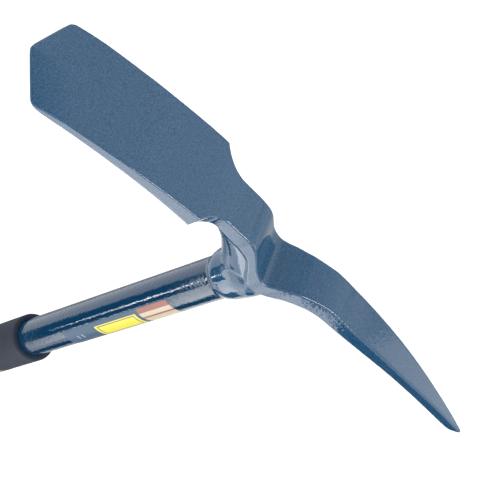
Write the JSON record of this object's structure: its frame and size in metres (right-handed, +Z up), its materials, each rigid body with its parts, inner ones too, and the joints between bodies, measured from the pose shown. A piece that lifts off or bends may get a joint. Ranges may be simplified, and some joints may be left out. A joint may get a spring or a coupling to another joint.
{
  "type": "rock hammer",
  "caption": "Long-handled prospecting pick: forged head with a pointed digging blade and a curved pick, on a steel tube handle with a rubber grip.",
  "frame": {"origin": "centre of the butt's flat bottom, on the handle's axis", "axes": "+Z up the handle's axis to the head, -X along the blade, +X along the pick, Y across the blade's width"},
  "size_m": [0.408, 0.0576, 0.6351],
  "materials": {
    "head_paint": "satin metallic blue paint with a fine speckle over forged steel",
    "tube_paint": "glossy blue paint with a slight orange-peel texture over a steel tube",
    "weld_paint": "glossy blue paint over a ring weld",
    "plug_plastic": "moulded grey plastic, hidden inside the grip",
    "grip_rubber": "matte navy rubber with a fine grain",
    "inlay_rubber": "matte tan rubber, slightly softer than the sleeve",
    "label_film": "printed plastic film with a plain yellow panel and plain bands, no lettering"
  },
  "bodies": {
    "root": {"head_forging": "head_paint", "handle_tube": "tube_paint", "weld_bead": "weld_paint", "tube_end_plug": "plug_plastic", "grip_sleeve": "grip_rubber", "grip_inlay": "inlay_rubber", "label": "label_film"}
  },
  "joints": []
}
